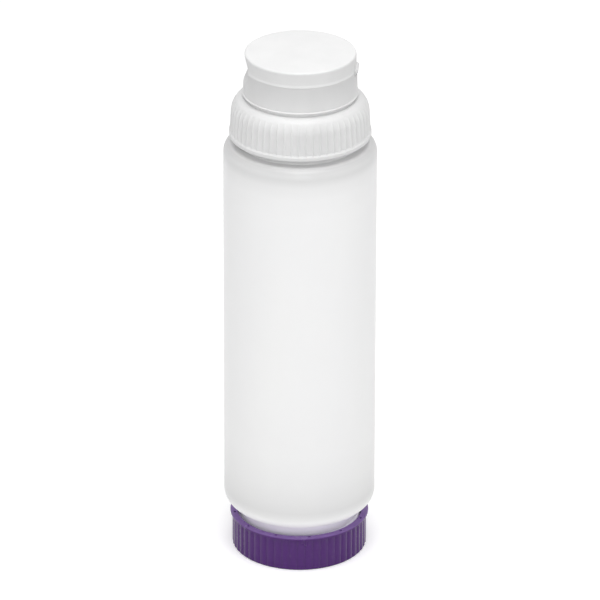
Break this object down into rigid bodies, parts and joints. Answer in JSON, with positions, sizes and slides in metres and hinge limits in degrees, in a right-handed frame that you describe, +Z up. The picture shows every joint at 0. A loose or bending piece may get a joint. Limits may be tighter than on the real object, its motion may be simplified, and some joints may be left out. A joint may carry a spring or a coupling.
{
  "type": "dispensing sauce bottle",
  "caption": "Upright translucent squeeze bottle open at both ends, with a white screw-on dispensing cap under a flip lid and a purple ribbed refill cap as its base.",
  "frame": {"origin": "centre of the refill cap's foot, on the surface that the bottle stands on", "axes": "+Z up the bottle's axis to the flip lid, +Y to the lid's hinge, -Y to its thumb scoop"},
  "size_m": [0.07, 0.07, 0.2482],
  "materials": {
    "translucent_body": "satin translucent polyethylene",
    "white_cap": "satin moulded polypropylene",
    "purple_cap": "satin moulded polypropylene",
    "valve_silicone": "translucent silicone",
    "gasket": "soft white sealing ring"
  },
  "bodies": {
    "bottle": {"bottle_body": "translucent_body"},
    "dispensing_seal": {"dispensing_gasket": "gasket"},
    "dispensing_cap": {"dispensing_cap": "white_cap", "silicone_valve": "valve_silicone", "valve_retainer": "white_cap", "living_hinge": "white_cap"},
    "flip_lid": {"flip_lid": "white_cap"},
    "refill_seal": {"refill_gasket": "gasket"},
    "refill_cap": {"refill_cap": "purple_cap"}
  },
  "joints": [
    {"name": "dispensing_cap_lift", "type": "slide", "parent": "bottle", "child": "dispensing_seal", "axis": [0, 0, 1], "range_m": [0, 0.01482]},
    {"name": "dispensing_cap_turn", "type": "hinge", "parent": "dispensing_seal", "child": "dispensing_cap", "pos_m": [0, 0, 0.2222], "axis": [0, 0, 1], "range_deg": [0, 1260]},
    {"name": "lid_flip", "type": "hinge", "parent": "dispensing_cap", "child": "flip_lid", "pos_m": [0, 0.0262, 0.2408], "axis": [-1, 0, 0], "range_deg": [0, 150], "deforming": ["living_hinge"]},
    {"name": "refill_cap_lift", "type": "slide", "parent": "bottle", "child": "refill_seal", "axis": [0, 0, -1], "range_m": [0, 0.01482]},
    {"name": "refill_cap_turn", "type": "hinge", "parent": "refill_seal", "child": "refill_cap", "pos_m": [0, 0, 0.0039], "axis": [0, 0, -1], "range_deg": [0, 1260]}
  ],
  "couplings": [
    {"joint": "dispensing_cap_lift", "follows": "dispensing_cap_turn", "m_per_rad": 0.00067376},
    {"joint": "refill_cap_lift", "follows": "refill_cap_turn", "m_per_rad": 0.00067376}
  ]
}
